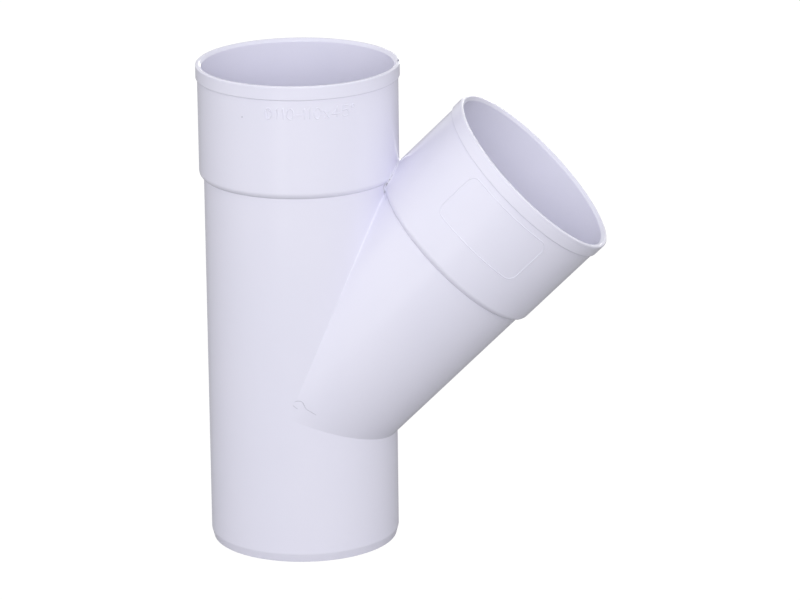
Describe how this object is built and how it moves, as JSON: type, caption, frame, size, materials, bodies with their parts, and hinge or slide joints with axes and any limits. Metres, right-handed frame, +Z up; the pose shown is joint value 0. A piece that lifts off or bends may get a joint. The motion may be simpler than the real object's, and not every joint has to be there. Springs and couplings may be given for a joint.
{
  "type": "lateral wye fitting",
  "caption": "One-piece plastic drain wye: a straight run with a spigot below and a solvent socket above, and a like socket on a branch at 45 degrees.",
  "frame": {"origin": "on the run's axis at the spigot's end face, which the fitting stands on", "axes": "+Z up along the run's axis from spigot to socket; +X towards the side that the branch leans to; the XZ plane is the plane of symmetry"},
  "size_m": [0.236, 0.1172, 0.285],
  "materials": {
    "pvc": "satin, faintly lavender white rigid PVC"
  },
  "bodies": {
    "root": {"wye_fitting": "pvc"}
  },
  "joints": []
}
